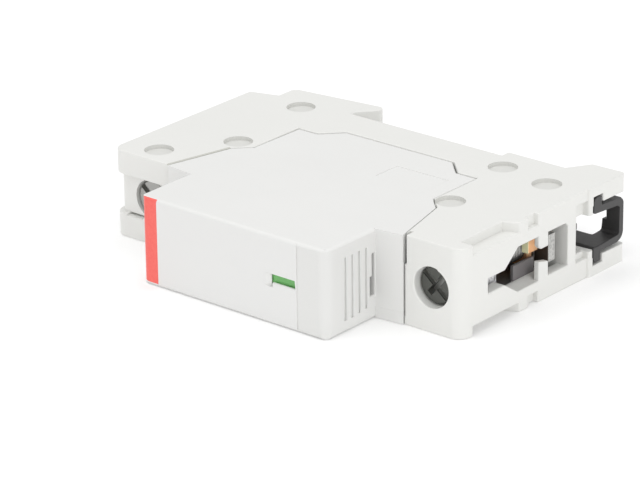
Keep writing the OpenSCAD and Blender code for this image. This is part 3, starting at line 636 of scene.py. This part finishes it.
def mouth_ramp(side, finishes):
    """The moulded ramp that leads a wire from the mouth's floor to the cage's flap."""
    tail = [(END_X[side] - inset, z) for inset, z in RAMP_TAIL]
    outline = [(RAMP_LIP[0][0], RAMP_FOOT_Z), *RAMP_LIP, *tail, (tail[-1][0], RAMP_FOOT_Z)]
    way = 1 if side == "right" else -1
    skin = bmesh.new()
    rows = [[skin.verts.new((way * x * MM, y * MM, z * MM)) for x, z in outline] for y in RAMP_Y]
    for step, corner in enumerate(rows[0]):
        after = (step + 1) % len(outline)
        skin.faces.new((corner, rows[1][step], rows[1][after], rows[0][after]))
    for row in rows:
        skin.faces.new(row)
    bmesh.ops.recalc_face_normals(skin, faces=skin.faces)
    add_piece("mouth_ramp_" + side, skin, "base_plastic", "base", None, finishes)


def thread_skin(skin, centre_x, start_y, end_y):
    """A closed threaded rod along Y, added to the skin, with its place in metres."""
    around, per_turn, groove_w, groove_flat = 36, 8, 2.6, 1.25
    pitch = THREAD_PITCH * MM
    rows = round((end_y - start_y) / pitch * per_turn)
    rings = []
    for row in range(rows + 1):
        y = start_y + (end_y - start_y) * row / rows
        fade = min(1, row / per_turn, (rows - row) / per_turn)
        ring = []
        for step in range(around):
            turn = step / around
            phase = ((y - start_y) / pitch - turn) % 1
            groove = max(0, 1 - abs(phase - 0.5) * groove_w)
            radius = THREAD_R * MM - THREAD_D * MM * min(1, groove * groove_flat) * fade
            angle = turn * math.tau
            ring.append(skin.verts.new((centre_x + radius * math.cos(angle), y, radius * math.sin(angle))))
        rings.append(ring)
    for ring, following in zip(rings, rings[1:]):
        for step in range(around):
            after = (step + 1) % around
            skin.faces.new((ring[step], following[step], following[after], ring[after])).smooth = True
    skin.faces.new(list(rings[0]))
    skin.faces.new(list(reversed(rings[-1])))


def threaded_screw(side, finishes):
    """The terminal screw with a cut thread below its head."""
    node = "terminal_screw_" + side
    low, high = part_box(node)
    head_end = low.y + SCREW_HEAD_L * MM
    skin = welded(node)
    whole = list(skin.verts) + list(skin.edges) + list(skin.faces)
    below_head = (0, head_end + SCREW_CUT * MM, 0)
    cut = bmesh.ops.bisect_plane(skin, geom=whole, plane_co=below_head, plane_no=(0, 1, 0), clear_outer=True)
    rim = [part for part in cut["geom_cut"] if isinstance(part, bmesh.types.BMEdge)]
    bmesh.ops.holes_fill(skin, edges=rim, sides=0)
    thread_skin(skin, (low.x + high.x) / 2, head_end - THREAD_LAP * MM, high.y)
    bmesh.ops.recalc_face_normals(skin, faces=skin.faces)
    add_piece("threaded_screw_" + side, skin, "screw_steel", "screw_" + side, node, finishes)


def lamp(name, place, aim, size, power):
    """A soft square studio lamp."""
    light = bpy.data.lights.new(name, "AREA")
    light.shape = "SQUARE"
    light.size = size
    light.energy = power
    holder = bpy.data.objects.new(name, light)
    holder.location = place
    holder.rotation_euler = (Vector(aim) - Vector(place)).to_track_quat("-Z", "Y").to_euler()
    bpy.context.scene.collection.objects.link(holder)


def light_tent():
    """An even white surround with soft lamps above, at the front and at the right."""
    scene = bpy.context.scene
    scene.view_settings.view_transform = "Standard"
    world = bpy.data.worlds.new("tent")
    world.use_nodes = True
    surround = world.node_tree.nodes["Background"]
    surround.inputs["Color"].default_value = (1, 1, 1, 1)
    surround.inputs["Strength"].default_value = TENT_LIGHT
    scene.world = world
    for name, row in LAMPS.items():
        lamp(name, **row)


def paper_floor():
    """A wide sheet of white paper under the part, which glows a little so that it stays white."""
    ways = ((-1, -1), (1, -1), (1, 1), (-1, 1))
    corners = [(x * FLOOR_REACH, y * FLOOR_REACH, cad_low.z) for x, y in ways]
    mesh = bpy.data.meshes.new("floor")
    mesh.from_pydata(corners, [], [(0, 1, 2, 3)])
    floor = bpy.data.objects.new("floor", mesh)
    bpy.context.scene.collection.objects.link(floor)
    paper = Finish("white_paper")
    paper.set(Base_Color=(0.93, 0.93, 0.93), Roughness=0.9, Emission_Color=(1, 1, 1), Emission_Strength=0.1)
    mesh.materials.append(paper.material)


def camera():
    """The photograph's view: turned to the right end and looking down on the upper side."""
    turn, rise, roll = (math.radians(angle) for angle in (CAMERA_TURN, CAMERA_RISE, CAMERA_ROLL))
    back = Vector((math.sin(turn) * math.cos(rise), -math.cos(turn) * math.cos(rise), math.sin(rise)))
    right = Vector((math.cos(turn), math.sin(turn), 0))
    up = back.cross(right)
    level_right = math.cos(roll) * right + math.sin(roll) * up
    level_up = math.cos(roll) * up - math.sin(roll) * right
    data = bpy.data.cameras.new("camera")
    data.sensor_width = CAMERA_SENSOR
    data.lens = CAMERA_LENS
    data.clip_start = 0.01
    holder = bpy.data.objects.new("camera", data)
    axes = Matrix((level_right, level_up, back)).transposed()
    stand = Vector(CAMERA_AIM_MM) * MM + back * CAMERA_DISTANCE
    holder.matrix_world = Matrix.Translation(stand) @ axes.to_4x4()
    bpy.context.scene.collection.objects.link(holder)
    bpy.context.scene.camera = holder


camera()
light_tent()
paper_floor()
finishes = dress_solids()
mould_shells(finishes)
for side in ("left", "right"):
    threaded_screw(side, finishes)
    mouth_ramp(side, finishes)
